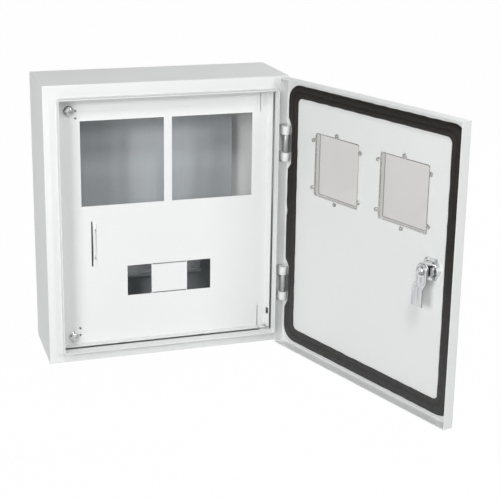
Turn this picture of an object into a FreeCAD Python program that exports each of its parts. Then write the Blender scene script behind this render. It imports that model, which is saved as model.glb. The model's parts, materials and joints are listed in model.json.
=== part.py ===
import FreeCAD, Part
import math
import os

os.makedirs("parts", exist_ok=True)
V = FreeCAD.Vector

# Sheet-steel body, millimetres. X runs to the right, Y into the wall, Z up, the wall plane is y = 0.
box_w = 350.0
box_h = 400.0
box_d = 118.0
sheet = 1.2
bend_r = 2.0
flange_side = 18.5
flange_end = 17.7
lip_h = 15.5
lip_corner_r = 3.0
fix_inset = 30.0
fix_hole_r = 4.0

# Cable entries in the bottom, closed by rubber plugs until a cable is drawn in
entry_r = 12.5
entry_pitch = 120.0
entry_count = 2
plug_rim = 3.0
plug_rim_h = 2.5
plug_depth = 5.0

# Mounting plate, folded back at top and bottom to stand off the wall side
plate_w = 245.0
plate_h = 330.0
plate_t = 1.5
plate_stand = 15.0
stud_r = 3.0
stud_inset = 15.0
nut_af = 10.0
nut_h = 5.0
thread_show = 3.0

# Rail for modular devices
rail_len = 130.0
rail_h = 35.0
rail_hat = 27.0
rail_depth = 7.5
rail_t = 1.0
rail_behind_panel = 61.0
bracket_w = 20.0
bracket_foot = 14.0
bracket_pitch = 100.0
bracket_t = 1.5

# Earth stud
earth_inset_x = 29.0
earth_inset_z = 65.0
earth_len = 26.0
earth_nut_at = 12.0

# Inner panel, a tray with its rims turned to the front
panel_recess = 14.0
panel_rim = 10.5
panel_rim_left = 6.5
panel_gap = 1.3
panel_lean_w = 5.8
panel_lean_inset = 6.5
window_w = 118.5
window_h = 121.8
window_pitch = 130.1
window_mid_x = 1.7
window_inset_z = 33.4
module_w = 17.6
module_h = 45.0
end_modules = 2
blank_modules = 3
din_mid_x = 3.2
din_inset_z = 67.3
blank_slit = 1.5
blank_bridge = 1.3
pull_inset = 46.4
pull_mid_z = -31.0
pull_len = 66.0
pull_w = 6.0
pull_rise = 3.0
pull_slit = 2.2
hinge_slit_inset = 16.0
hinge_slit_len = 33.0
hinge_slit_w = 1.0
hook_slot_inset = 24.8
hook_slot_h = 9.5
hook_slot_w = 6.5

# Pivots and catches of the inner panel
pivot_inset = 8.0
pivot_behind_flange = 8.5
pivot_r = 2.0
pivot_ear = 15.0
pivot_plate = 1.5
catch_inset_x = 16.3
catch_inset_top = 17.8
catch_inset_low = 12.8
catch_w = 22.0
catch_leg = 20.0
catch_t = 1.5
catch_nose = 7.5
catch_nut_w = 11.0
catch_nut_h = 5.0
seal_hole_r = 1.5
seal_hole_dx = 9.4
seal_hole_dz = (0.8, 11.3)
screw_r = 3.0
screw_head_r = 6.8
screw_head_h = 6.0
screw_slot_w = 1.6
screw_slot_d = 2.0

# Outer door, modelled closed and then turned to its open angle
door_open_deg = 108.5
door_gap = 6.5
door_depth = 16.0
door_short = 2.0
gasket_h = 5.5
gasket_in_x = 6.5
gasket_out_x = 10.0
gasket_in_z = 9.5
gasket_out_z = 9.0
gasket_r_out = 20.0
gasket_r_in = 8.0

# Door windows
glaze_w = 90.0
glaze_pitch = 132.0
pane_wall = 2.0
pane_bulge = 8.0
pane_rim = 7.0
pane_rim_r = 6.0
clip_w = 6.0
clip_reach = 3.0
clip_hook_h = 3.0
clip_spread = 34.0

# Door hinges
hinge_x_in = 7.5
hinge_forward = 14.0
hinge_pitch = 210.0
hinge_len = 51.0
hinge_lug_len = 12.5
hinge_lug_r = 5.5
hinge_web_right = 1.5
hinge_barrel_r = 5.0
hinge_barrel_foot = 3.5
hinge_pin_r = 2.5
hinge_notch = 2.0

# Cam lock
lock_inset = 50.0
lock_z = 0.0
lock_r = 10.8
lock_face_r = 15.0
lock_face_h = 3.0
lock_flat = 9.4
lock_body_h = 17.0
lock_nut_af = 28.0
lock_nut_h = 5.5
plug_r = 7.0
plug_square = 8.0
key_slot_l = 9.0
key_slot_w = 2.0
key_slot_d = 8.0
cam_t = 2.5
cam_hub_r = 9.0
cam_reach = 45.0
cam_crank = 6.0
cam_crank_at = 14.0
cam_crank_run = 7.0
cam_screw_r = 2.5
cam_screw_head_r = 7.0
cam_screw_head_h = 4.0
cam_screw_grip = 8.0

# Clearances
run_gap = 0.05
seat_gap = 0.3
hole_gap = 0.3
catch_gap = 0.4

front = -box_d
lip_x = box_w / 2 - flange_side
lip_z = box_h / 2 - flange_end
hinge_x = box_w / 2 - hinge_x_in
hinge_y = front - hinge_forward
hinge_zs = (hinge_pitch / 2, -hinge_pitch / 2)
door_out = front - door_gap - door_depth
door_in = door_out + sheet
door_h = box_h - door_short
panel_y = front + panel_recess
panel_x = lip_x - sheet - panel_gap
panel_z = lip_z - sheet - panel_gap
window_mid_z = panel_z - window_inset_z - window_h / 2
din_mid_z = -panel_z + din_inset_z + module_h / 2
pull_x = -panel_x + pull_inset
hinge_slit_x = panel_x - hinge_slit_inset
hook_slot_z = -panel_z + hook_slot_inset
pivot_x = panel_x - pivot_inset
catch_screw_x = -panel_x + catch_inset_x
catch_zs = (panel_z - catch_inset_top, -panel_z + catch_inset_low)
lock_x = -box_w / 2 + lock_inset
AX = V(1, 0, 0)
AY = V(0, 1, 0)
AZ = V(0, 0, 1)


def block(x0, x1, y0, y1, z0, z1):
    return Part.makeBox(x1 - x0, y1 - y0, z1 - z0, V(x0, y0, z0))


def rod(radius, start, axis, length):
    return Part.makeCylinder(radius, length, start, axis)


def fuse(shapes):
    body = shapes[0]
    for other in shapes[1:]:
        body = body.fuse(other)
    return body.removeSplitter()


def along(edge, axis):
    a, b = edge.Vertexes[0].Point, edge.Vertexes[-1].Point
    step = b.sub(a)
    return step.Length > 1e-6 and abs(abs(step.normalize().dot(axis)) - 1) < 1e-6


def round_edges(shape, radius, axis):
    return shape.makeFillet(radius, [e for e in shape.Edges if along(e, axis)])


def round_face(shape, radius, level):
    flat = [e for e in shape.Edges if all(abs(v.Point.y - level) < 1e-6 for v in e.Vertexes)]
    return shape.makeFillet(radius, flat)


def slab(half_x, half_z, y0, y1, radius, cx=0.0, cz=0.0):
    return round_edges(block(cx - half_x, cx + half_x, y0, y1, cz - half_z, cz + half_z), radius, AY)


def prism_z(points, z0, z1):
    wire = Part.makePolygon([V(x, y, z0) for x, y in points + points[:1]])
    return Part.Face(wire).extrude(V(0, 0, z1 - z0))


def prism_x(points, x0, x1):
    wire = Part.makePolygon([V(x0, y, z) for y, z in points + points[:1]])
    return Part.Face(wire).extrude(V(x1 - x0, 0, 0))


def hex_bar(across_flats, start, axis, length):
    corner = across_flats / math.sqrt(3)
    ring = [V(corner * math.cos(k * math.pi / 3), corner * math.sin(k * math.pi / 3), 0) for k in range(7)]
    body = Part.Face(Part.makePolygon(ring)).extrude(V(0, 0, length))
    body.Placement = FreeCAD.Placement(start, FreeCAD.Rotation(AZ, axis))
    return body


def nut(across_flats, bore, start, axis, height):
    return hex_bar(across_flats, start, axis, height).cut(rod(bore, start, axis, height))


def corners(pitch_x, pitch_z):
    return [(sx * pitch_x / 2, sz * pitch_z / 2) for sx in (-1, 1) for sz in (-1, 1)]


nodes = {}

# Folded shell: back, four sides, front flange and the lip that stands round the opening
skin = block(-box_w / 2, box_w / 2, front, 0, -box_h / 2, box_h / 2)
skin = round_face(skin, bend_r, front)
room_x = box_w / 2 - sheet
room_z = box_h / 2 - sheet
room = block(-room_x, room_x, front + sheet, -sheet, -room_z, room_z)
lip = slab(lip_x, lip_z, front - lip_h, front + sheet, lip_corner_r)
mouth = slab(lip_x - sheet, lip_z - sheet, front - lip_h - 1, front + sheet + 1, lip_corner_r - sheet)
shell = skin.cut(room).fuse(lip).cut(mouth)
for x, z in corners(box_w - 2 * fix_inset, box_h - 2 * fix_inset):
    shell = shell.cut(rod(fix_hole_r, V(x, -sheet - 1, z), AY, sheet + 2))
entry_xs = [(k - (entry_count - 1) / 2) * entry_pitch for k in range(entry_count)]
entry_y = -box_d / 2
for x in entry_xs:
    shell = shell.cut(rod(entry_r, V(x, entry_y, -box_h / 2 - 1), AZ, sheet + 2))
nodes["enclosure_shell"] = shell.removeSplitter()

plugs = []
for x in entry_xs:
    rim = rod(entry_r + plug_rim, V(x, entry_y, -box_h / 2 - plug_rim_h), AZ, plug_rim_h)
    plugs.append(rim.fuse(rod(entry_r - run_gap, V(x, entry_y, -box_h / 2), AZ, plug_depth)))
nodes["entry_plugs"] = Part.makeCompound(plugs)

# Mounting plate held on two studs by nuts
plate_back = -sheet - plate_stand
plate_front = plate_back - plate_t
plate_edge = plate_h / 2
plate = block(-plate_w / 2, plate_w / 2, plate_front, plate_back, -plate_edge, plate_edge)
for z0 in (-plate_edge, plate_edge - plate_t):
    plate = plate.fuse(block(-plate_w / 2, plate_w / 2, plate_front, -sheet, z0, z0 + plate_t))
studs = []
nuts = []
stud_tip = plate_front - nut_h - thread_show
for z in (plate_edge - stud_inset, -plate_edge + stud_inset):
    plate = plate.cut(rod(stud_r + hole_gap, V(0, plate_front - 1, z), AY, plate_t + 2))
    studs.append(rod(stud_r, V(0, stud_tip, z), AY, -sheet - stud_tip))
    nuts.append(nut(nut_af, stud_r + run_gap, V(0, plate_front, z), V(0, -1, 0), nut_h))
nodes["mounting_plate"] = plate.removeSplitter()
nodes["plate_studs"] = Part.makeCompound(studs)
nodes["plate_nuts"] = Part.makeCompound(nuts)

# Top-hat rail on two folded brackets
rail_y = panel_y + rail_behind_panel
rail_back = rail_y + rail_depth
hat = rail_hat / 2
brim = rail_h / 2
rail_profile = [
    (rail_y, brim), (rail_y + rail_t, brim), (rail_y + rail_t, hat), (rail_back, hat),
    (rail_back, -hat), (rail_y + rail_t, -hat), (rail_y + rail_t, -brim), (rail_y, -brim),
    (rail_y, -hat + rail_t), (rail_back - rail_t, -hat + rail_t),
    (rail_back - rail_t, hat - rail_t), (rail_y, hat - rail_t),
]
rail = prism_x(rail_profile, din_mid_x - rail_len / 2, din_mid_x + rail_len / 2)
rail.translate(V(0, 0, din_mid_z))
nodes["din_rail"] = rail
brackets = []
for side in (-1, 1):
    x0 = din_mid_x + side * bracket_pitch / 2 - bracket_w / 2
    x1 = x0 + bracket_w
    top = din_mid_z + bracket_foot
    low = din_mid_z - bracket_foot
    leg_t = bracket_t
    brackets.append(
        fuse(
            [
                block(x0, x1, rail_back, rail_back + leg_t, low, top),
                block(x0, x1, rail_back, plate_front, top - leg_t, top),
                block(x0, x1, rail_back, plate_front, low, low + leg_t),
                block(x0, x1, plate_front - leg_t, plate_front, top - leg_t, top + bracket_foot),
                block(x0, x1, plate_front - leg_t, plate_front, low - bracket_foot, low + leg_t),
            ]
        )
    )
nodes["rail_brackets"] = Part.makeCompound(brackets)

# Earth stud
stud_foot = V(box_w / 2 - earth_inset_x, -sheet, -box_h / 2 + earth_inset_z)
out = V(0, -1, 0)
nodes["earth_stud"] = rod(stud_r, stud_foot, out, earth_len)
nodes["earth_nut"] = nut(nut_af, stud_r + run_gap, stud_foot + out * earth_nut_at, out, nut_h)

# Inner panel: face, three square rims and a leaning rim on the hinge side
face_right = panel_x - panel_lean_w
rim_y = panel_y - panel_rim
panel_back = panel_y + sheet
face = block(-panel_x, face_right + sheet, panel_y, panel_back, -panel_z, panel_z)
rims = [
    block(-panel_x, panel_x - panel_lean_inset, rim_y, panel_back, panel_z - sheet, panel_z),
    block(-panel_x, panel_x - panel_lean_inset, rim_y, panel_back, -panel_z, -panel_z + sheet),
    block(-panel_x, -panel_x + sheet, panel_y - panel_rim_left, panel_back, -panel_z, panel_z),
]
lean_len = math.hypot(panel_lean_w, panel_rim)
lean_nx = panel_rim / lean_len * sheet
lean_ny = panel_lean_w / lean_len * sheet
lean = prism_z(
    [
        (face_right, panel_y),
        (panel_x - lean_nx, rim_y - lean_ny + sheet),
        (panel_x, rim_y + sheet),
        (face_right + lean_nx + sheet * 0.5, panel_back),
        (face_right, panel_back),
    ],
    -panel_z,
    panel_z,
)
panel = fuse([face, lean] + rims)
for side in (-1, 1):
    cx = window_mid_x + side * window_pitch / 2
    window = block(-window_w / 2, window_w / 2, panel_y - 1, panel_back + 1, -window_h / 2, window_h / 2)
    window.translate(V(cx, 0, window_mid_z))
    panel = panel.cut(window)
blank_half = blank_modules * module_w / 2
end_w = end_modules * module_w
for side in (-1, 1):
    cx = din_mid_x + side * (blank_half + end_w / 2)
    device = block(-end_w / 2, end_w / 2, panel_y - 1, panel_back + 1, -module_h / 2, module_h / 2)
    device.translate(V(cx, 0, din_mid_z))
    panel = panel.cut(device)
    cz = din_mid_z + side * (module_h - blank_slit) / 2
    slit_half = blank_half - blank_bridge
    slit = block(-slit_half, slit_half, panel_y - 1, panel_back + 1, -blank_slit / 2, blank_slit / 2)
    slit.translate(V(din_mid_x, 0, cz))
    panel = panel.cut(slit)


def pull_form(inset):
    cross_r = (pull_w**2 + pull_rise**2) / (2 * pull_rise)
    long_r = ((pull_len / 2) ** 2 + pull_rise**2) / (2 * pull_rise)
    low = pull_mid_z - pull_len / 2
    crest = panel_y - pull_rise
    across = rod(cross_r - inset, V(pull_x, crest + cross_r, low), AZ, pull_len)
    lengthwise = rod(long_r - inset, V(pull_x, crest + long_r, pull_mid_z), AX, pull_w)
    room = block(pull_x, pull_x + pull_w, crest - 1, panel_y, low, low + pull_len)
    return across.common(lengthwise).common(room)


# Finger pull: the sheet is slit and pressed forward on the right of the slit
panel = panel.fuse(pull_form(0)).cut(pull_form(sheet))
finger_w = pull_w * 0.6
finger_l = pull_len * 0.8
for x0, x1, length in ((pull_x - pull_slit, pull_x, pull_len), (pull_x, pull_x + finger_w, finger_l)):
    low = pull_mid_z - length / 2
    panel = panel.cut(block(x0, x1, panel_y - sheet * 0.5, panel_back + 1, low, low + length))

for side, z in zip((1, -1), catch_zs):
    panel = panel.cut(rod(screw_r + run_gap, V(catch_screw_x, panel_y - 1, z), AY, sheet + 2))
    for dz in seal_hole_dz:
        hole = V(catch_screw_x + seal_hole_dx, panel_y - 1, z - side * dz)
        panel = panel.cut(rod(seal_hole_r, hole, AY, sheet + 2))
    slit_far = side * panel_z
    slit_near = side * (panel_z - hinge_slit_len)
    panel = panel.cut(
        block(
            hinge_slit_x - hinge_slit_w / 2, hinge_slit_x + hinge_slit_w / 2, rim_y - 1, panel_back + 1,
            min(slit_far, slit_near) - (side < 0), max(slit_far, slit_near) + (side > 0),
        )
    )
    ear_z = slit_far - sheet if side > 0 else slit_far
    pivot = V(pivot_x, front + pivot_behind_flange, ear_z - 1)
    panel = panel.cut(rod(pivot_r + run_gap, pivot, AZ, sheet + 2))
lean_mid_y = (panel_y + rim_y) / 2
panel = panel.cut(
    block(
        face_right - 1, panel_x + 1, lean_mid_y - hook_slot_w / 2, lean_mid_y + hook_slot_w / 2,
        hook_slot_z - hook_slot_h / 2, hook_slot_z + hook_slot_h / 2,
    )
)
nodes["inner_panel"] = panel.removeSplitter()

# Pivot brackets behind the front flange and the pins that carry the panel
brackets = []
pins = []
weld_y = front + sheet
for side in (1, -1):
    ear_in = panel_z + seat_gap
    ear_out = ear_in + pivot_plate
    leg_out = box_h / 2 - sheet - 3
    x0 = pivot_x - pivot_ear / 2
    x1 = pivot_x + pivot_ear / 2
    ear = block(x0, x1, weld_y, front + pivot_behind_flange + 5, ear_in, ear_out)
    leg = block(x0, x1, weld_y, weld_y + pivot_plate, ear_in, leg_out)
    pin_at = V(pivot_x, front + pivot_behind_flange, ear_out)
    body = fuse([ear, leg]).cut(rod(pivot_r, pin_at, V(0, 0, -1), pivot_plate))
    pin = rod(pivot_r, pin_at, V(0, 0, -1), pivot_plate + seat_gap + sheet + pivot_r)
    if side < 0:
        body = body.mirror(V(0, 0, 0), AZ)
        pin = pin.mirror(V(0, 0, 0), AZ)
    brackets.append(body)
    pins.append(pin)
nodes["panel_pivot_brackets"] = Part.makeCompound(brackets)
nodes["panel_pivot_pins"] = Part.makeCompound(pins)

# Catch brackets welded to the left side, each with a nut for its sealing screw
catches = []
catch_y = panel_back + seat_gap
wall_x = -box_w / 2 + sheet
for z in catch_zs:
    low = z - catch_w / 2
    high = z + catch_w / 2
    tongue = block(wall_x, catch_screw_x + catch_nose, catch_y, catch_y + catch_t, low, high)
    leg = block(wall_x, wall_x + catch_t, catch_y, catch_y + catch_leg, low, high)
    half = catch_nut_w / 2
    nut_y = catch_y + catch_t
    boss = block(catch_screw_x - half, catch_screw_x + half, nut_y, nut_y + catch_nut_h, z - half, z + half)
    bore = rod(screw_r + catch_gap, V(catch_screw_x, catch_y - 1, z), AY, catch_t + catch_nut_h + 2)
    catches.append(fuse([tongue, leg, boss]).cut(bore))
nodes["catch_brackets"] = Part.makeCompound(catches)

# Sealing screws: tall round head with a driver slot
for name, z in zip(("upper_sealing_screw", "lower_sealing_screw"), catch_zs):
    seat = panel_y - run_gap
    reach = catch_y + catch_t + catch_nut_h - seat
    top = seat - screw_head_h
    screw = rod(screw_head_r, V(catch_screw_x, top, z), AY, screw_head_h)
    screw = screw.fuse(rod(screw_r, V(catch_screw_x, seat, z), AY, reach))
    span = screw_head_r + 1
    half = screw_slot_w / 2
    x = catch_screw_x
    nodes[name] = screw.cut(block(x - span, x + span, top - 1, top + screw_slot_d, z - half, z + half))

# Box half of the hinges: welded lugs with fixed pins
lugs = []
pins = []
for zc in hinge_zs:
    for z0 in (zc - hinge_len / 2, zc + hinge_len / 2 - hinge_lug_len):
        eye = rod(hinge_lug_r, V(hinge_x, hinge_y, z0), AZ, hinge_lug_len)
        web_right = hinge_x + hinge_web_right
        web = block(hinge_x - hinge_lug_r, web_right, hinge_y, front, z0, z0 + hinge_lug_len)
        lugs.append(fuse([eye, web]).cut(rod(hinge_pin_r, V(hinge_x, hinge_y, z0), AZ, hinge_lug_len)))
    pins.append(rod(hinge_pin_r, V(hinge_x, hinge_y, zc - hinge_len / 2), AZ, hinge_len))
nodes["hinge_lugs"] = Part.makeCompound(lugs)
nodes["hinge_pins"] = Part.makeCompound(pins)

# Outer door: a shallow pan, cleared at the hinges, with two windows and the lock hole
door = {}
pan = block(-box_w / 2, box_w / 2, door_out, front - door_gap, -door_h / 2, door_h / 2)
pan = round_face(pan, bend_r, door_out)
tray = block(-box_w / 2 + sheet, box_w / 2 - sheet, door_in, front, -door_h / 2 + sheet, door_h / 2 - sheet)
pan = pan.cut(tray)
notch_half = hinge_len / 2 + hinge_notch
for zc in hinge_zs:
    notch = block(box_w / 2 - sheet - 1, box_w / 2 + 1, door_in, front, -notch_half, notch_half)
    notch.translate(V(0, 0, zc))
    pan = pan.cut(notch)
glaze_half = glaze_w / 2 + hole_gap
clip_out = glaze_w / 2 + pane_wall
clip_spots = [(-1, 0, 1), (-1, 0, -1), (1, 0, 1), (1, 0, -1), (0, 1, 0), (0, -1, 0)]
for name, side in (("left", -1), ("right", 1)):
    cx = side * glaze_pitch / 2
    cz = window_mid_z
    opening = block(-glaze_half, glaze_half, door_out - 1, door_in + 1, -glaze_half, glaze_half)
    opening.translate(V(cx, 0, cz))
    pan = pan.cut(opening)
    rim_half = glaze_w / 2 + pane_rim
    cap_half = glaze_w / 2
    cap_face = door_out - pane_bulge
    rim = slab(rim_half, rim_half, door_out - pane_wall, door_out, pane_rim_r, cx, cz)
    cap = block(cx - cap_half, cx + cap_half, cap_face, door_in, cz - cap_half, cz + cap_half)
    room_half = cap_half - pane_wall
    well = block(-room_half, room_half, cap_face + pane_wall, door_in + 1, -room_half, room_half)
    well.translate(V(cx, 0, cz))
    pane = fuse([rim, cap])
    hook_y = door_in + 0.1
    for sx, sz, half_way in clip_spots:
        x = cx + sx * clip_out
        z = cz + sz * clip_out + half_way * clip_spread
        turn = 0 if sx > 0 else 180 if sx < 0 else -90 * sz
        gap = clip_w / 2 + hole_gap
        leg = prism_z(
            [
                (-pane_wall, door_out - 1), (0, door_out - 1), (0, hook_y), (clip_reach, hook_y),
                (clip_reach, hook_y + 0.8), (-0.4, hook_y + clip_hook_h),
                (-pane_wall, hook_y + clip_hook_h),
            ],
            -clip_w / 2,
            clip_w / 2,
        )
        slot = block(-pane_wall - 1, hole_gap, door_out - 1, door_in + 1, -gap, gap)
        for piece in (leg, slot):
            piece.rotate(V(0, 0, 0), AY, turn)
            piece.translate(V(x, 0, z))
        pane = pane.fuse(leg)
        pan = pan.cut(slot)
    door[name + "_window_pane"] = pane.cut(well).removeSplitter()

lock_hole = rod(lock_r + 0.2, V(lock_x, door_out - 1, lock_z), AY, sheet + 2)
flat_gap = lock_flat + 0.2
flats = block(-flat_gap, flat_gap, door_out - 2, door_in + 2, -2 * lock_r, 2 * lock_r)
flats.translate(V(lock_x, 0, lock_z))
pan = pan.cut(lock_hole.common(flats))
door["door_skin"] = pan.removeSplitter()

# Foamed gasket that the lip presses into, narrower beside the hinges
ring_x = lip_x - sheet / 2
ring_z = lip_z - sheet / 2
seal_top = door_in + gasket_h
seal = slab(ring_x + gasket_out_x, ring_z + gasket_out_z, door_in, seal_top, gasket_r_out)
hollow_x = ring_x - gasket_in_x
hollow_z = ring_z - gasket_in_z
seal = seal.cut(slab(hollow_x, hollow_z, door_in - 1, seal_top + 1, gasket_r_in))
relief_x = hinge_x - hinge_lug_r - seat_gap
for zc in hinge_zs:
    seal = seal.cut(block(relief_x, box_w / 2, door_in - 1, seal_top + 1, zc - notch_half, zc + notch_half))
door["door_gasket"] = seal

# Door half of the hinges
barrels = []
for zc in hinge_zs:
    z0 = zc - hinge_len / 2 + hinge_lug_len + seat_gap
    length = hinge_len - 2 * hinge_lug_len - 2 * seat_gap
    eye = rod(hinge_barrel_r, V(hinge_x, hinge_y, z0), AZ, length)
    foot = block(-hinge_barrel_foot, hinge_barrel_foot, door_in, hinge_y, z0, z0 + length)
    foot.translate(V(hinge_x, 0, 0))
    bore = rod(hinge_pin_r + run_gap, V(hinge_x, hinge_y, z0), AZ, length)
    barrels.append(fuse([eye, foot]).cut(bore))
door["hinge_barrels"] = Part.makeCompound(barrels)

# Cam lock: body and nut stay with the door, plug and cam turn
lock_at = V(lock_x, door_out, lock_z)
body_end = door_in + lock_body_h
barrel = rod(lock_r, lock_at, AY, body_end - door_out)
sides = block(-lock_flat, lock_flat, door_out - 1, body_end + 1, -2 * lock_r, 2 * lock_r)
sides.translate(V(lock_x, 0, lock_z))
face_plate = rod(lock_face_r, lock_at, V(0, -1, 0), lock_face_h)
lock = fuse([barrel.common(sides), face_plate])
bore_y = door_out - 2 * lock_face_h
bore = rod(plug_r + run_gap, V(lock_x, bore_y, lock_z), AY, body_end - bore_y + 2 * lock_face_h)
door["lock_body"] = lock.cut(bore)
door["lock_nut"] = nut(lock_nut_af, lock_r + run_gap, V(lock_x, door_in, lock_z), AY, lock_nut_h)

plug_face = door_out - lock_face_h + 0.3
plug = rod(plug_r, V(lock_x, plug_face, lock_z), AY, body_end - plug_face)
square_end = body_end + seat_gap + cam_t
half = plug_square / 2
square = block(-half, half, body_end - 1, square_end, -half, half)
square.translate(V(lock_x, 0, lock_z))
plug = plug.fuse(square)
key_slot = block(
    lock_x - key_slot_w / 2, lock_x + key_slot_w / 2, plug_face - 1, plug_face + key_slot_d,
    lock_z - key_slot_l / 2, lock_z + key_slot_l / 2,
)
plug = plug.cut(key_slot)
screw_hole = rod(cam_screw_r, V(lock_x, square_end - cam_screw_grip - 1, lock_z), AY, cam_screw_grip + 2)
door["lock_plug"] = plug.cut(screw_hole).removeSplitter()

# Cranked cam, hanging straight down in its released position
hub_y = body_end + seat_gap
knee = -cam_crank_at
shin = knee - cam_crank_run
blade_y = hub_y + cam_crank
cam_profile = [
    (hub_y, cam_hub_r), (hub_y + cam_t, cam_hub_r), (hub_y + cam_t, knee), (blade_y + cam_t, shin),
    (blade_y + cam_t, -cam_reach), (blade_y, -cam_reach), (blade_y, shin), (hub_y, knee),
]
bar = prism_x(cam_profile, -cam_hub_r, cam_hub_r)
deep = cam_crank + cam_t + 2
plan = block(-cam_hub_r, cam_hub_r, hub_y - 1, hub_y - 1 + deep, -cam_reach, 0)
plan = plan.fuse(rod(cam_hub_r, V(0, hub_y - 1, 0), AY, deep))
cam = bar.common(plan)
hub_hole = half + run_gap
cam = cam.cut(block(-hub_hole, hub_hole, hub_y - 1, hub_y + cam_t + 1, -hub_hole, hub_hole))
cam.translate(V(lock_x, 0, lock_z))
door["cam_lever"] = cam.removeSplitter()
head_y = hub_y + cam_t
grip_y = square_end - cam_screw_grip
cam_screw = rod(cam_screw_r, V(lock_x, grip_y, lock_z), AY, head_y - grip_y)
door["cam_screw"] = cam_screw.fuse(rod(cam_screw_head_r, V(lock_x, head_y, lock_z), AY, cam_screw_head_h))

for name, shape in door.items():
    shape.rotate(V(hinge_x, hinge_y, 0), AZ, door_open_deg)
    nodes[name] = shape

for name, shape in nodes.items():
    shape.exportStep("parts/" + name + ".step")
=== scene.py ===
import bpy
import bmesh
import json
import math
from mathutils import Matrix, Vector, noise

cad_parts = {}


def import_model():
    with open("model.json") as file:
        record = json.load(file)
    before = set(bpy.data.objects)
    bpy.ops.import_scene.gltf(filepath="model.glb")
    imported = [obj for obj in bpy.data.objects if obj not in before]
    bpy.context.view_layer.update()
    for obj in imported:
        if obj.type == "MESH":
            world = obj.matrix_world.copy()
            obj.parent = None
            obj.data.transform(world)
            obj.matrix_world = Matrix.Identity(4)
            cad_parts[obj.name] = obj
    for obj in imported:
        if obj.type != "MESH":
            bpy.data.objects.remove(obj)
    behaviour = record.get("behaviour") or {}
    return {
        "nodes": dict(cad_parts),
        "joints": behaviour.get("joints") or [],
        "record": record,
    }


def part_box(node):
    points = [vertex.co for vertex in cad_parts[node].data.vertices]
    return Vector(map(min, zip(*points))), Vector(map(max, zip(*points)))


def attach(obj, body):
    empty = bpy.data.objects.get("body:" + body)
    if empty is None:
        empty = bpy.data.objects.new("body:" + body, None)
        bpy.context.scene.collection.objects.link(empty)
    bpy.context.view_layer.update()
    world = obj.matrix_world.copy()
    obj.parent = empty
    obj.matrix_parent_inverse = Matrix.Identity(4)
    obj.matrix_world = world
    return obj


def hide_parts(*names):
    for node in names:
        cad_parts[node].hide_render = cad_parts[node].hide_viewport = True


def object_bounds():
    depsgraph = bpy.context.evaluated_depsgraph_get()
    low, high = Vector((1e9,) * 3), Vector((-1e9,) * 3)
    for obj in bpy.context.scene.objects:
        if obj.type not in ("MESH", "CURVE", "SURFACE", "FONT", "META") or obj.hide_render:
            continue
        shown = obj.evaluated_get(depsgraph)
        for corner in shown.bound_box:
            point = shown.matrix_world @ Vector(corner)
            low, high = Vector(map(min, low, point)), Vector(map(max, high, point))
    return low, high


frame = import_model()
nodes = frame["nodes"]
cadLow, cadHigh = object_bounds()
mm = 0.001
weldReach = 1e-6
doorSheet = 1.2 * mm  # thickness of the door skin
print("frame loaded,", len(nodes), "nodes")


class Wire:
    # one output of a shader node; sums on it add Math nodes
    def __init__(self, finish, socket):
        self.finish = finish
        self.socket = socket

    def calc(self, operation, first, second):
        return self.finish.add("ShaderNodeMath", {"operation": operation}, {0: first, 1: second})

    def __add__(self, other):
        return self.calc("ADD", self, other)

    def __radd__(self, other):
        return self.calc("ADD", other, self)

    def __sub__(self, other):
        return self.calc("SUBTRACT", self, other)

    def __rsub__(self, other):
        return self.calc("SUBTRACT", other, self)

    def __mul__(self, other):
        return self.calc("MULTIPLY", self, other)

    def __rmul__(self, other):
        return self.calc("MULTIPLY", other, self)

    def __or__(self, other):
        return self.calc("MAXIMUM", self, other)

    def __ror__(self, other):
        return self.calc("MAXIMUM", other, self)

    def steepen(self, contrast, middle):
        # spreads the values about the middle, which becomes a half
        return (self - middle) * contrast + 0.5


class Finish:
    # the node tree of a material or of the world
    colourSockets = (6, 7)  # the two colours of a Mix node
    colourResult = 2

    def __init__(self, owner):
        self.owner = owner
        owner.use_nodes = True
        self.tree = owner.node_tree
        self.tree.nodes.clear()

    def add(self, kind, settings=None, sockets=None, output=0):
        node = self.tree.nodes.new(kind)
        for key, value in (settings or {}).items():
            setattr(node, key, value)
        for key, value in (sockets or {}).items():
            if isinstance(value, Wire):
                self.tree.links.new(value.socket, node.inputs[key])
            else:
                node.inputs[key].default_value = value
        return Wire(self, node.outputs[output]) if node.outputs else None

    def place(self):
        return self.add("ShaderNodeTexCoord", output="Object")

    def noise(self, grit, stretch=None):
        # grit is the scale and the detail
        scale, detail = grit
        where = self.place()
        if stretch:
            where = self.add("ShaderNodeMapping", None, {"Vector": where, "Scale": stretch})
        return self.add("ShaderNodeTexNoise", None, {"Vector": where, "Scale": scale, "Detail": detail})

    def blend(self, mask, *colours):
        sockets = {"Factor": mask}
        for key, colour in zip(self.colourSockets, colours):
            sockets[key] = colour if isinstance(colour, Wire) else (*colour, 1)
        return self.add("ShaderNodeMix", {"data_type": "RGBA"}, sockets, self.colourResult)

    def bump(self, height, strength, depth):
        return self.add("ShaderNodeBump", None, {"Height": height, "Strength": strength, "Distance": depth})

    def close(self, sockets):
        shader = self.add("ShaderNodeBsdfPrincipled", None, sockets)
        self.add("ShaderNodeOutputMaterial", None, {"Surface": shader})
        return self.owner

    def sightRays(self):
        # one for rays that end as background: seen directly, in metal or through clear plastic
        seen = self.add("ShaderNodeLightPath", output="Is Camera Ray")
        shine = self.add("ShaderNodeLightPath", output="Is Glossy Ray")
        through = self.add("ShaderNodeLightPath", output="Is Transmission Ray")
        return seen | shine | through


def newFinish(name):
    return Finish(bpy.data.materials.new(name))


paint = {
    "light": (0.80, 0.812, 0.807), "shade": (0.775, 0.787, 0.782), "peel": (650, 3), "clouds": (7, 4),
    "rough": 0.36, "cloudRough": 0.1, "peelRough": 0.08, "bump": 0.10, "bumpDepth": 0.4 * mm, "ior": 1.5,
}


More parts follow.
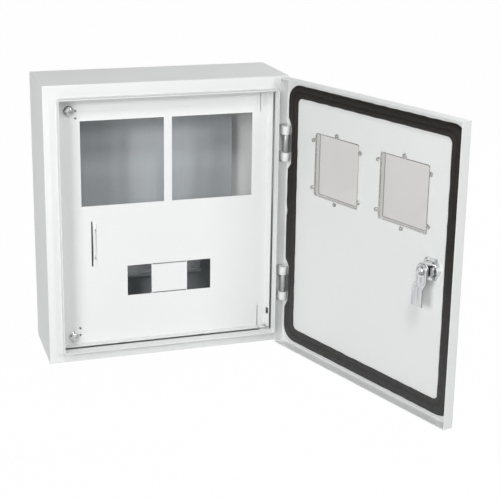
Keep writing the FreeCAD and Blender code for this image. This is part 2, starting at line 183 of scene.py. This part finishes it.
def powderCoat():
    f = newFinish("powderCoat")
    peel = f.noise(paint["peel"])
    clouds = f.noise(paint["clouds"])
    colour = f.blend(clouds, paint["light"], paint["shade"])
    rough = paint["rough"] + clouds * paint["cloudRough"] + peel * paint["peelRough"]
    normal = f.bump(peel, paint["bump"], paint["bumpDepth"])
    return f.close({"Base Color": colour, "Roughness": rough, "Normal": normal, "IOR": paint["ior"]})


plateSkin = {
    "bright": (0.50, 0.527, 0.545), "dull": (0.415, 0.441, 0.458), "metal": 0.1,
    "lines": (420, 3), "grain": (1, 1, 0.02), "lineShare": 0.6, "spangle": (60, 2),
    "rough": 0.52, "spangleRough": 0.12, "lineRough": 0.08, "bump": 0.15, "bumpDepth": 0.1 * mm,
}


def galvanised():
    f = newFinish("galvanised")
    lines = f.noise(plateSkin["lines"], plateSkin["grain"])
    spangle = f.noise(plateSkin["spangle"])
    mask = lines * plateSkin["lineShare"] + spangle * (1 - plateSkin["lineShare"])
    colour = f.blend(mask, plateSkin["dull"], plateSkin["bright"])
    rough = plateSkin["rough"] + spangle * plateSkin["spangleRough"] + lines * plateSkin["lineRough"]
    normal = f.bump(lines, plateSkin["bump"], plateSkin["bumpDepth"])
    sockets = {"Base Color": colour, "Roughness": rough, "Normal": normal}
    return f.close({**sockets, "Metallic": plateSkin["metal"]})


zinc = {
    "bright": (0.80, 0.815, 0.82), "dull": (0.38, 0.392, 0.40), "metal": 0.7,
    "lines": (520, 3), "lineShare": 0.85, "blooms": (90, 3), "contrast": 2.4, "middle": 0.5,
    "rough": 0.32, "bloomRough": 0.12, "lineRough": 0.08, "bump": 0.15, "bumpDepth": 0.08 * mm,
}


def zincPlate(name, grain, share):
    # grain is the stretch of the drawing lines, share scales the plating's colour: above one it is a painted
    # highlight, below one painted shade
    f = newFinish(name)
    lines = f.noise(zinc["lines"], grain)
    blooms = f.noise(zinc["blooms"])
    streaks = lines * zinc["lineShare"] + blooms * (1 - zinc["lineShare"])
    dull, bright = ([level * share for level in zinc[tone]] for tone in ("dull", "bright"))
    colour = f.blend(streaks.steepen(zinc["contrast"], zinc["middle"]), dull, bright)
    rough = zinc["rough"] + blooms * zinc["bloomRough"] + lines * zinc["lineRough"]
    normal = f.bump(lines, zinc["bump"], zinc["bumpDepth"])
    return f.close({"Base Color": colour, "Roughness": rough, "Normal": normal, "Metallic": zinc["metal"]})


plating = {
    "bright": (0.86, 0.865, 0.87), "dark": (0.24, 0.245, 0.25),
    "clouds": (115, 2), "contrast": 2.6, "middle": 0.46, "ripple": (45, 2),
    "rough": 0.07, "cloudRough": 0.08, "bump": 0.05, "bumpDepth": 0.2 * mm,
}


def chromeWithPaintedReflections():
    f = newFinish("chromeWithPaintedReflections")
    clouds = f.noise(plating["clouds"])
    ripple = f.noise(plating["ripple"])
    # the dark and bright clouds in the chrome's colour are painted reflections
    tone = clouds.steepen(plating["contrast"], plating["middle"])
    colour = f.blend(tone, plating["dark"], plating["bright"])
    rough = plating["rough"] + clouds * plating["cloudRough"]
    normal = f.bump(ripple, plating["bump"], plating["bumpDepth"])
    return f.close({"Base Color": colour, "Roughness": rough, "Normal": normal, "Metallic": 1.0})


brassSkin = {
    "dark": (0.62, 0.44, 0.16), "light": (0.76, 0.58, 0.27),
    "turning": (700, 2), "grain": (1, 0.1, 1), "rough": 0.26, "turnRough": 0.14,
}


def brassNut():
    f = newFinish("brassNut")
    turned = f.noise(brassSkin["turning"], brassSkin["grain"])
    colour = f.blend(turned, brassSkin["dark"], brassSkin["light"])
    rough = brassSkin["rough"] + turned * brassSkin["turnRough"]
    return f.close({"Base Color": colour, "Roughness": rough, "Metallic": 1.0})


foam = {
    "dark": (0.0145, 0.0125, 0.0111), "worn": (0.040, 0.036, 0.033), "footLight": (0.063, 0.0615, 0.061),
    "cells": (900, 4), "folds": (110, 3), "cellTone": 0.55, "cellBump": 0.4,
    "plainAbove": 0.04, "footLightBelow": -0.14, "footLightShare": 0.5, "footLightFolds": 0.7,
    "rough": 0.42, "foldRough": 0.22, "bump": 0.4, "bumpDepth": 0.6 * mm, "shine": 0.1,
}


def foamRubber():
    f = newFinish("foamRubber")
    cells = f.noise(foam["cells"])
    folds = f.noise(foam["folds"])
    skinMask = cells * foam["cellTone"] + folds * (1 - foam["cellTone"])
    skin = f.blend(skinMask, foam["dark"], foam["worn"])
    level = f.add("ShaderNodeSeparateXYZ", None, {"Vector": f.place()}, "Z")
    reach = {"Value": level, "From Min": foam["plainAbove"], "From Max": foam["footLightBelow"]}
    footLightMask = f.add("ShaderNodeMapRange", None, reach)  # painted light: the foam is painted lighter towards the foot of the door, as bounce light from below
    colour = f.blend(footLightMask * (foam["footLightShare"] + folds * foam["footLightFolds"]), skin, foam["footLight"])
    rough = foam["rough"] + folds * foam["foldRough"]
    height = cells * foam["cellBump"] + folds * (1 - foam["cellBump"])
    normal = f.bump(height, foam["bump"], foam["bumpDepth"])
    sockets = {"Base Color": colour, "Roughness": rough, "Normal": normal}
    return f.close({**sockets, "Specular IOR Level": foam["shine"]})


plugTone = {
    "dark": (0.018, 0.018, 0.019), "light": (0.042, 0.042, 0.044), "bloom": (220, 4),
    "rough": 0.48, "bloomRough": 0.2, "bump": 0.1, "bumpDepth": 0.2 * mm,
}


def plugRubber():
    f = newFinish("plugRubber")
    bloom = f.noise(plugTone["bloom"])
    colour = f.blend(bloom, plugTone["dark"], plugTone["light"])
    rough = plugTone["rough"] + bloom * plugTone["bloomRough"]
    normal = f.bump(bloom, plugTone["bump"], plugTone["bumpDepth"])
    return f.close({"Base Color": colour, "Roughness": rough, "Normal": normal})


# walls and edges of the trays are seen edge on and take darker tints, painted shade
clearTint = {
    "clearPlastic": ((0.62, 0.61, 0.598), (0.65, 0.64, 0.627)),
    "clearWallsPaintedShade": ((0.50, 0.49, 0.48), (0.54, 0.53, 0.52)),
    "clearEdgesPaintedShade": ((0.28, 0.276, 0.27), (0.34, 0.335, 0.328)),
    "clearClips": ((0.50, 0.50, 0.495), (0.66, 0.66, 0.65)),
}
clearSkin = {"flow": (24, 3), "rough": 0.03, "flowRough": 0.03, "ior": 1.3}


def clearPlastic(name):
    f = newFinish(name)
    flow = f.noise(clearSkin["flow"])
    colour = f.blend(flow, *clearTint[name])
    rough = clearSkin["rough"] + flow * clearSkin["flowRough"]
    sockets = {"Base Color": colour, "Roughness": rough}
    return f.close({**sockets, "Transmission Weight": 1.0, "IOR": clearSkin["ior"]})


upright, lengthwise = (1, 1, 0.04), (0.04, 1, 1)  # grain of drawn zinc
chrome = chromeWithPaintedReflections()
sealFoam = foamRubber()
plugSkin = plugRubber()
clear, wallClear, edgeClear, clipClear = (clearPlastic(name) for name in clearTint)

dressing = {
    "painted_steel": powderCoat(),
    "galvanised_steel": galvanised(),
    "zinc_steel": zincPlate("brightZinc", upright, 1.0),
    "brass": brassNut(),
    "chrome_plate": chrome,
    "foam_rubber": sealFoam,
    "plug_rubber": plugSkin,
    "clear_plastic": clear,
}
# the rail's brighter copy of the zinc is a painted highlight, the barrels' darker copy is painted shade
ownFinish = {
    "din_rail": zincPlate("railZincPaintedHighlight", lengthwise, 1.1),
    "hinge_barrels": zincPlate("barrelZincPaintedShade", upright, 0.55),
}
for part in frame["record"]["subparts"]:
    mesh = nodes[part["node"]].data
    mesh.materials.clear()
    mesh.materials.append(ownFinish.get(part["node"], dressing[part["material_slot"]]))
print("finishes on", len(nodes), "nodes")

# the door is built shut and turned to where the frame has it
doorJoint = next(j for j in frame["joints"] if j["name"] == "door_hinge")
hinge = Vector(doorJoint["pos_m"])
doorTurn = Matrix.Rotation(math.radians(-doorJoint["range_deg"][0]), 4, "Z")
doorPlace = Matrix.Translation(hinge) @ doorTurn @ Matrix.Translation(-hinge)


def shutBox(node):
    # the corners of a node with the door shut
    back = doorPlace.inverted()
    points = [back @ v.co for v in nodes[node].data.vertices]
    low = Vector(min(p[k] for p in points) for k in range(3))
    high = Vector(max(p[k] for p in points) for k in range(3))
    return low, high


def meshObject(name, bm):
    mesh = bpy.data.meshes.new(name)
    bm.to_mesh(mesh)
    bm.free()
    obj = bpy.data.objects.new(name, mesh)
    bpy.context.scene.collection.objects.link(obj)
    return obj


def settle(name, bm, materials, body, replaced, sharp):
    # a finished piece on its body, smooth but for edges beyond the sharp angle
    bmesh.ops.remove_doubles(bm, verts=bm.verts, dist=weldReach)
    bmesh.ops.recalc_face_normals(bm, faces=bm.faces)
    obj = meshObject(name, bm)
    for face in obj.data.polygons:
        face.use_smooth = True
    obj.data.set_sharp_from_angle(angle=math.radians(sharp))
    for material in materials:
        obj.data.materials.append(material)
    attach(obj, body)
    if replaced:
        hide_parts(*replaced)
    return obj


def bridge(bm, rings, closed=False):
    # skins a list of vertex rings of one length, with a face at each end unless it is closed
    pairs = list(zip(rings, rings[1:]))
    if closed:
        pairs.append((rings[-1], rings[0]))
    for first, second in pairs:
        count = len(first)
        for k in range(count):
            bm.faces.new((first[k], first[(k + 1) % count], second[(k + 1) % count], second[k]))
    if not closed:
        bm.faces.new(rings[0])
        bm.faces.new(rings[-1])


def lathe(bm, profile, place, turns):
    angles = [2 * math.pi * k / turns for k in range(turns)]
    rings = []
    for r, height in profile:
        points = [Vector((r * math.cos(a), r * math.sin(a), height)) for a in angles]
        rings.append([bm.verts.new(place @ point) for point in points])
    bridge(bm, rings)


def facing(centre, axis):
    # local Z along axis, standing at centre
    return Matrix.Translation(centre) @ Vector(axis).to_track_quat("Z", "Y").to_matrix().to_4x4()


def roundedRing(halfX, halfZ, radius, steps):
    points = []
    corners = ((1, 1, 0), (-1, 1, 90), (-1, -1, 180), (1, -1, 270))
    for signX, signZ, start in corners:
        for k in range(steps + 1):
            angle = math.radians(start + 90 * k / steps)
            x = signX * (halfX - radius) + radius * math.cos(angle)
            z = signZ * (halfZ - radius) + radius * math.sin(angle)
            points.append((x, z))
    return points


def carve(obj, cutters):
    for cutter in cutters:
        change = obj.modifiers.new("carve", "BOOLEAN")
        change.object = cutter
        change.operation = "DIFFERENCE"
        change.solver = "EXACT"
    bpy.context.view_layer.update()
    graph = bpy.context.evaluated_depsgraph_get()
    shaped = bpy.data.meshes.new_from_object(obj.evaluated_get(graph))
    obj.modifiers.clear()
    obj.data = shaped
    for cutter in cutters:
        bpy.data.objects.remove(cutter)


def bar(centre, size, turn=None):
    bm = bmesh.new()
    bmesh.ops.create_cube(bm, size=1)
    bm.transform(Matrix.Diagonal((*size, 1)))
    if turn:
        bm.transform(turn)
    bm.transform(Matrix.Translation(centre))
    return meshObject("cutter", bm)


def pin(centre, radius, length, turns=24):
    bm = bmesh.new()
    lathe(bm, [(radius, -length / 2), (radius, length / 2)], Matrix.Translation(centre), turns)
    return meshObject("cutter", bm)


# bands are measured from the outline of the CAD seal, and the spreads go beyond it
seal = {
    "hingeBand": 16.5 * mm, "freeBand": 19.5 * mm, "endBand": 18.5 * mm,
    "sideSpread": 4 * mm, "footSpread": 1.5 * mm, "outerRound": 22 * mm, "innerRound": 8 * mm,
    "hingeDip": 8.8 * mm, "hingeClear": 1 * mm, "hingeRamp": 11 * mm, "rampPower": 0.8,
    "joinHeight": 5 * mm, "joinDip": 2.4 * mm, "joinRun": 5 * mm,
    "wander": 1.2 * mm, "outerWave": 42, "innerWave": 37, "sag": 0.08, "sagWave": 30,
    "crownPower": 2.2, "crownFall": 0.55,
    "fold": 0.50, "foldAt": 0.40, "foldDrift": 0.08, "foldRun": 0.10, "foldWave": 14,
    "cornerSteps": 16, "sideSteps": 90, "acrossSteps": 22, "sharp": 60,
}


def sealCourse(left, right, bottom, top, radius):
    # one line round the door, with points along the straight sides as well
    steps, runs = seal["cornerSteps"], seal["sideSteps"]
    centre = Vector(((left + right) / 2, 0, (bottom + top) / 2))
    corners = roundedRing((right - left) / 2, (top - bottom) / 2, radius, steps)
    ring = [centre + Vector((x, 0, z)) for x, z in corners]
    points = []
    for k, point in enumerate(ring):
        points.append(point)
        if k % (steps + 1) == steps:
            following = ring[(k + 1) % len(ring)]
            points += [point.lerp(following, n / runs) for n in range(1, runs)]
    return points


def doorSeal():
    # poured foam bead: crowned, with a fold along it, edges that wander, and dips by the hinges and the join
    low, high = shutBox("door_gasket")
    knuckles = [v.co.z for v in nodes["hinge_lugs"].data.vertices if v.co.z > 0]
    hingeMid = (max(knuckles) + min(knuckles)) / 2
    hingeHalf = (max(knuckles) - min(knuckles)) / 2

    def dip(point):
        if point.x < high.x:
            return 0
        past = abs(abs(point.z) - hingeMid) - hingeHalf - seal["hingeClear"]
        near = seal["hingeDip"] * min(1, max(0, 1 - past / seal["hingeRamp"])) ** seal["rampPower"]
        join = seal["joinDip"] * math.exp(-((point.z - seal["joinHeight"]) / seal["joinRun"]) ** 2)
        return max(near, join)

    def wander(point, wave):
        return abs(noise.noise(point * wave)) * seal["wander"]

    side, foot, end = seal["sideSpread"], seal["footSpread"], seal["endBand"]
    outer = sealCourse(low.x - side, high.x + side, low.z - foot, high.z, seal["outerRound"])
    innerLeft, innerRight = low.x + seal["freeBand"], high.x - seal["hingeBand"]
    inner = sealCourse(innerLeft, innerRight, low.z + end, high.z - end, seal["innerRound"])
    bm = bmesh.new()
    height = high.y - low.y
    rings = []
    for t in range(seal["acrossSteps"] + 1):
        share = t / seal["acrossSteps"]
        crown = max(0, 1 - abs(2 * share - 1) ** seal["crownPower"]) ** seal["crownFall"]
        ring = []
        for a, b in zip(inner, outer):
            out = (b - a).normalized()
            edge = b - out * (dip(b) + wander(b, seal["outerWave"]))
            start = a + out * wander(a, seal["innerWave"])
            point = start.lerp(edge, share)
            foldAt = seal["foldAt"] + noise.noise(start * seal["foldWave"]) * seal["foldDrift"]
            fold = seal["fold"] * math.exp(-((share - foldAt) / seal["foldRun"]) ** 2)
            sag = abs(noise.noise(point * seal["sagWave"])) * seal["sag"]
            lift = crown * (1 - sag) * (1 - fold)
            ring.append(bm.verts.new((point.x, low.y + height * lift, point.z)))
        rings.append(ring)
    bridge(bm, rings, closed=True)
    bm.transform(doorPlace)
    settle("doorSeal", bm, [sealFoam], "outer_door", ["door_gasket"], seal["sharp"])


doorSeal()
print("door seal done")

pane = {
    "rim": 7 * mm, "rimBevel": 0.6 * mm, "rimEdge": 0.6, "wall": 1.1 * mm, "round": 3 * mm, "cornerSteps": 6,
    "edge": 1.5 * mm, "edgeAngles": (0, 30, 60, 90), "flatLean": 0.95, "wallLean": 0.1, "sharp": 40,
}


def windowPane(node, name):
    # clear tray pushed through the door from outside, its rim on the outer face
    low, high = shutBox(node)
    centre = (low + high) / 2
    half = (high.x - low.x) / 2
    cap = half - pane["rim"]
    faceOut, front = shutBox("door_skin")[0].y, low.y
    faceIn = faceOut + doorSheet
    wall, edge, soft = pane["wall"], pane["edge"], pane["round"]
    rimRound = soft + pane["rim"] / 2
    bends = [math.radians(angle) for angle in pane["edgeAngles"]]

    def rounded(size, depth, radius):
        # size, depth and corner radius of each ring from the flat front to the wall
        insets = [(edge * (math.sin(a) - 1), edge * (1 - math.cos(a))) for a in bends]
        return [(size + inset, depth + rise, radius + inset) for inset, rise in insets]

    section = rounded(cap - wall, front + wall, soft)
    section += [
        (cap - wall, faceIn, soft), (cap, faceIn, soft + wall), (cap, faceOut, soft + wall),
        (half, faceOut, rimRound), (half, faceOut - wall * pane["rimEdge"], rimRound),
        (half - pane["rimBevel"], faceOut - wall, rimRound), (cap, faceOut - wall, soft + wall),
    ]
    section += rounded(cap, front, soft + wall)[::-1]
    bm = bmesh.new()
    rings = []
    for size, depth, radius in section:
        ring = roundedRing(size, size, radius, pane["cornerSteps"])
        rings.append([bm.verts.new((centre.x + x, depth, centre.z + z)) for x, z in ring])
    bridge(bm, rings)
    bm.normal_update()
    # faces seen edge on get the darker tints, painted shade
    for face in bm.faces:
        lean = abs(face.normal.y)
        face.material_index = 0 if lean > pane["flatLean"] else 1 if lean < pane["wallLean"] else 2
    bm.transform(doorPlace)
    settle(name, bm, [clear, wallClear, edgeClear], "outer_door", [node], pane["sharp"])


clip = {
    "reach": 3.4 * mm, "spread": 34 * mm, "outer": 2.9 * mm, "inner": 1.8 * mm, "lift": 2.2 * mm,
    "lead": 0.5 * mm, "leadStart": 0.6, "split": 50, "turns": 20, "sharp": 40,
}


def paneClips(node, name):
    # split pegs that snap behind the door skin round the opening
    low, high = shutBox(node)
    centre = (low + high) / 2
    faceIn = shutBox("door_skin")[0].y + doorSheet
    ring = (high.x - low.x) / 2 - pane["rim"] + clip["reach"]
    spots = [(side * ring, level * clip["spread"]) for side in (-1, 1) for level in (-1, 1)]
    spots += [(0, ring), (0, -ring)]
    inner, outer = clip["inner"], clip["outer"]
    section = [(inner, 0), (outer, 0), (outer, clip["leadStart"]), (outer - clip["lead"], 1), (inner, 1)]
    split = math.radians(clip["split"])
    bm = bmesh.new()
    for x, z in spots:
        start = math.atan2(-z, -x) + split / 2
        rings = []
        for k in range(clip["turns"] + 1):
            angle = start + (2 * math.pi - split) * k / clip["turns"]
            cos, sin = math.cos(angle), math.sin(angle)
            points = [(x + r * cos, h * clip["lift"], z + r * sin) for r, h in section]
            rings.append([bm.verts.new((centre.x + a, faceIn + h, centre.z + b)) for a, h, b in points])
        bridge(bm, rings)
    bm.transform(doorPlace)
    settle(name, bm, [clipClear], "outer_door", (), clip["sharp"])


windowPane("left_window_pane", "leftPane")
windowPane("right_window_pane", "rightPane")
paneClips("left_window_pane", "leftPaneClips")
paneClips("right_window_pane", "rightPaneClips")
print("window panes done")

sealScrew = {
    "headTall": 6 * mm, "collar": 1.3 * mm, "collarBevel": 0.3 * mm, "neck": 0.8 * mm, "neckFall": 0.5 * mm,
    "shank": 3 * mm, "tip": 0.6 * mm, "slot": 1.7 * mm, "slotDepth": 2.0 * mm, "overcut": 2 * mm,
    "wireHole": 1.2 * mm, "wireLevel": 2.2 * mm, "turns": 56, "sharp": 30,
    # how far in from the neck and below the top
    "dome": ((0, 1.6 * mm), (0.5 * mm, 0.8 * mm), (1.5 * mm, 0.2 * mm), (2.4 * mm, 0)),
}


def sealingScrew(node, name, body):
    low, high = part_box(node)
    head = (high.x - low.x) / 2
    front, back = low.y, high.y
    tall = sealScrew["headTall"]
    seat = front + tall
    centre = Vector(((low.x + high.x) / 2, seat, (low.z + high.z) / 2))
    shank, tip, bevel = sealScrew["shank"], sealScrew["tip"], sealScrew["collarBevel"]
    collar, neck = sealScrew["collar"], head - sealScrew["neck"]
    profile = [
        (shank - tip, seat - back), (shank, seat - back + tip), (shank, 0), (head - bevel, 0), (head, bevel),
        (head, collar), (neck, collar + sealScrew["neckFall"]),
    ]
    profile += [(neck - inset, tall - drop) for inset, drop in sealScrew["dome"]]
    bm = bmesh.new()
    lathe(bm, profile, facing(centre, (0, -1, 0)), sealScrew["turns"])
    obj = settle(name, bm, [chrome], body, [node], sealScrew["sharp"])
    slot, deep, over = sealScrew["slot"], sealScrew["slotDepth"], sealScrew["overcut"]
    across = head * 3  # cuts well past the head
    groove = Vector((centre.x, front + (deep - over) / 2, centre.z))
    carve(obj, [
        bar(groove, (across, deep + over, slot)),
        bar(groove, (slot, deep + over, across)),
        pin((centre.x, seat - sealScrew["wireLevel"], centre.z), sealScrew["wireHole"], across),
    ])


sealingScrew("upper_sealing_screw", "upperSealScrew", "upper_screw")
sealingScrew("lower_sealing_screw", "lowerSealScrew", "lower_screw")
print("sealing screws done")

lockNut = {
    "bore": 10.85 * mm, "bevel": 0.9 * mm, "slope": 0.58, "cornerDrop": 0.15 * mm, "crownInset": 0.36 * mm,
    "turns": 72, "sharp": 25,
}


def chamferedNut():
    low, high = shutBox("lock_nut")
    centre = (low + high) / 2
    flat = (high.z - low.z) / 2
    tall = high.y - low.y
    turns, bore, bevel = lockNut["turns"], lockNut["bore"], lockNut["bevel"]
    angles = [2 * math.pi * k / turns for k in range(turns)]
    # radius of the six-sided outline, and how high the chamfer leaves it there
    outline = [flat / math.cos((a + math.pi / 6) % (math.pi / 3) - math.pi / 6) for a in angles]
    shoulder = [tall - (r - flat) * lockNut["slope"] - lockNut["cornerDrop"] for r in outline]
    rows = [
        [(bore, 0)] * turns, [(r, 0) for r in outline], list(zip(outline, shoulder)),
        [(flat - lockNut["crownInset"], tall)] * turns,
        [(bore + bevel, tall)] * turns, [(bore, tall - bevel)] * turns,
    ]
    bm = bmesh.new()
    place = facing((centre.x, low.y, centre.z), (0, 1, 0))
    rings = []
    for row in rows:
        points = [Vector((r * math.sin(a), r * math.cos(a), h)) for (r, h), a in zip(row, angles)]
        rings.append([bm.verts.new(place @ point) for point in points])
    bridge(bm, rings, closed=True)
    bm.transform(doorPlace)
    settle("lockNutChamfered", bm, [chrome], "outer_door", ["lock_nut"], lockNut["sharp"])


chamferedNut()

camHead = {
    "tall": 4.0 * mm, "washer": 1.2 * mm, "washerReach": 1.1 * mm, "edge": 0.2 * mm, "shank": 2.5 * mm,
    "recess": 1.6 * mm, "arm": 7.5 * mm, "deep": 1.8 * mm, "crossAngles": (20, 110), "turns": 40, "sharp": 30,
    # share of the radius, and how far below the top
    "dome": ((1, 1.5 * mm), (0.9, 0.8 * mm), (0.68, 0.25 * mm), (0.35, 0)),
}


def camScrewHead():
    low, high = shutBox("cam_screw")
    centre = (low + high) / 2
    head = (high.x - low.x) / 2
    tall, washer, edge, shank = (camHead[key] for key in ("tall", "washer", "edge", "shank"))
    dome = head - camHead["washerReach"]
    headBase = high.y - tall
    profile = [
        (shank, low.y - headBase), (shank, 0), (head - edge, 0), (head, edge), (head, washer),
        (dome + edge, washer + edge / 2), (dome, washer + edge * 1.5),
    ]
    profile += [(dome * share, tall - drop) for share, drop in camHead["dome"]]
    bm = bmesh.new()
    lathe(bm, profile, facing((centre.x, headBase, centre.z), (0, 1, 0)), camHead["turns"])
    bm.transform(doorPlace)
    obj = settle("camScrewHead", bm, [chrome], "lock_cam", ["cam_screw"], camHead["sharp"])
    spot = doorPlace @ Vector((centre.x, high.y, centre.z))
    size = (camHead["arm"], camHead["deep"] * 2, camHead["recess"])
    turns = [doorTurn @ Matrix.Rotation(math.radians(angle), 4, "Y") for angle in camHead["crossAngles"]]
    carve(obj, [bar(spot, size, turn) for turn in turns])


camScrewHead()
print("lock done")

entryPlug = {
    "groove": 3.05 * mm, "rimRound": 0.8 * mm, "roundShare": 0.3,
    "wall": 2 * mm, "lead": 0.6 * mm, "pit": 1.5 * mm,
    "rings": 3, "ringStep": 3.0 * mm, "ringHalf": 0.8 * mm, "ringLift": 0.5 * mm, "ringFoot": 0.1 * mm,
    "hub": 0.5 * mm, "turns": 56, "sharp": 40,
}


def entryPlugs():
    low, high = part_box("entry_plugs")
    rim = (high.y - low.y) / 2
    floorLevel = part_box("enclosure_shell")[0].z
    top, under = high.z - floorLevel, low.z - floorLevel
    neck = rim - entryPlug["groove"]
    soft, hub, lead = entryPlug["rimRound"], entryPlug["hub"], entryPlug["lead"]
    bend, foot = soft * entryPlug["roundShare"], under + entryPlug["ringFoot"]
    bowl, pit = neck - entryPlug["wall"], top - entryPlug["pit"]
    profile = [
        (hub, pit), (bowl, pit), (bowl, top), (neck - lead, top), (neck, top - lead), (neck, 0),
        (rim, 0), (rim, under + soft), (rim - bend, under + bend), (rim - soft, under),
    ]
    for k in range(entryPlug["rings"]):
        r, half = rim - 2 * soft - k * entryPlug["ringStep"], entryPlug["ringHalf"]
        profile += [(r, foot), (r - half, under + entryPlug["ringLift"]), (r - 2 * half, foot)]
    profile.append((hub, foot))
    bm = bmesh.new()
    for x in (low.x + rim, high.x - rim):
        lathe(bm, profile, Matrix.Translation((x, (low.y + high.y) / 2, floorLevel)), entryPlug["turns"])
    settle("entryPlugsMoulded", bm, [plugSkin], "enclosure", ["entry_plugs"], entryPlug["sharp"])


entryPlugs()
print("entry plugs done")

# folded and cut edges are eased a little, as the coating leaves them; widths in mm
edgeEase = {
    "enclosure_shell": 0.30, "inner_panel": 0.25, "door_skin": 0.30, "hinge_lugs": 0.5, "hinge_barrels": 0.35,
    "lock_body": 0.4, "lock_plug": 0.25, "cam_lever": 0.35, "din_rail": 0.2, "mounting_plate": 0.2,
    "catch_brackets": 0.25, "panel_pivot_brackets": 0.25, "rail_brackets": 0.2,
    "plate_nuts": 0.4, "earth_nut": 0.4,
}
flatAngle, easeAngle = math.radians(0.5), math.radians(40)
for node, width in edgeEase.items():
    join = nodes[node].modifiers.new("join", "WELD")
    join.merge_threshold = weldReach
    flatten = nodes[node].modifiers.new("flatten", "DECIMATE")
    flatten.decimate_type = "DISSOLVE"
    flatten.angle_limit = flatAngle
    ease = nodes[node].modifiers.new("ease", "BEVEL")
    ease.width = width * mm
    ease.segments = 2
    ease.limit_method = "ANGLE"
    ease.angle_limit = easeAngle
    ease.use_clamp_overlap = False
    ease.harden_normals = True
print("edges eased")

white = (1, 1, 1, 1)
stageSet = {"floorDrop": 0.13, "floorSize": 14.0, "floorColour": (0.9, 0.9, 0.9, 1), "whiteShare": 0.99}


def floor():
    bm = bmesh.new()
    bmesh.ops.create_grid(bm, x_segments=1, y_segments=1, size=stageSet["floorSize"])
    bm.transform(Matrix.Translation((0, 0, cadLow.z - stageSet["floorDrop"])))
    obj = meshObject("floor", bm)
    f = newFinish("paleFloor")
    matt = f.add("ShaderNodeBsdfDiffuse", None, {"Color": stageSet["floorColour"]})
    glow = f.add("ShaderNodeEmission", None, {"Color": white, "Strength": 1.0})
    mask = f.sightRays() * stageSet["whiteShare"]
    mix = f.add("ShaderNodeMixShader", None, {0: mask, 1: matt, 2: glow})
    f.add("ShaderNodeOutputMaterial", None, {"Surface": mix})
    obj.data.materials.append(f.owner)


floor()

sky = {"fill": 0.08, "background": 1.0}


def world():
    surround = bpy.data.worlds.new("studio")
    bpy.context.scene.world = surround
    f = Finish(surround)
    fill = f.add("ShaderNodeBackground", None, {"Color": white, "Strength": sky["fill"]})
    backdrop = f.add("ShaderNodeBackground", None, {"Color": white, "Strength": sky["background"]})
    mix = f.add("ShaderNodeMixShader", None, {0: f.sightRays(), 1: fill, 2: backdrop})
    f.add("ShaderNodeOutputWorld", None, {"Surface": mix})


world()

lampFar = 2.6
lampSet = {
    "key": {"around": -47, "up": 17, "size": 0.8, "watts": 33.8},
    "high": {"around": -13, "up": 45, "size": 0.5, "watts": 21.5},
    "side": {"around": 28, "up": 24, "size": 0.4, "watts": 13.9},
    "back": {"around": 128, "up": 32, "size": 1.0, "watts": 25},
}
middle = (cadLow + cadHigh) / 2
for name, plan in lampSet.items():
    around, up = math.radians(plan["around"]), math.radians(plan["up"])
    aim = Vector((math.sin(around) * math.cos(up), -math.cos(around) * math.cos(up), math.sin(up)))
    data = bpy.data.lights.new(name, "AREA")
    data.size = plan["size"]
    data.energy = plan["watts"]
    lamp = bpy.data.objects.new(name, data)
    lamp.location = middle + aim * lampFar
    lamp.rotation_euler = aim.to_track_quat("Z", "Y").to_euler()
    bpy.context.scene.collection.objects.link(lamp)
print("floor and lamps done")

cameraSet = {
    "at": (-0.4005, -1.6999, 0.4925), "yaw": 16.955, "pitch": 15.350, "roll": 0.556,
    "focalPixels": 1201.5, "imagePixels": 500, "axisPixel": (225, 190), "sensor": 36.0,
}


def camera():
    data = bpy.data.cameras.new("photoCamera")
    eye = bpy.data.objects.new("photoCamera", data)
    bpy.context.scene.collection.objects.link(eye)
    size = cameraSet["imagePixels"]
    data.sensor_width = cameraSet["sensor"]
    data.lens = cameraSet["focalPixels"] / size * cameraSet["sensor"]
    data.shift_x = 0.5 - cameraSet["axisPixel"][0] / size
    data.shift_y = cameraSet["axisPixel"][1] / size - 0.5
    turn = Matrix.Rotation(math.radians(-cameraSet["yaw"]), 4, "Z")
    tilt = Matrix.Rotation(math.radians(90 - cameraSet["pitch"]), 4, "X")
    roll = Matrix.Rotation(math.radians(cameraSet["roll"]), 4, "Z")
    eye.matrix_world = Matrix.Translation(cameraSet["at"]) @ turn @ tilt @ roll
    bpy.context.scene.camera = eye


camera()
bpy.context.scene.view_settings.view_transform = "Standard"
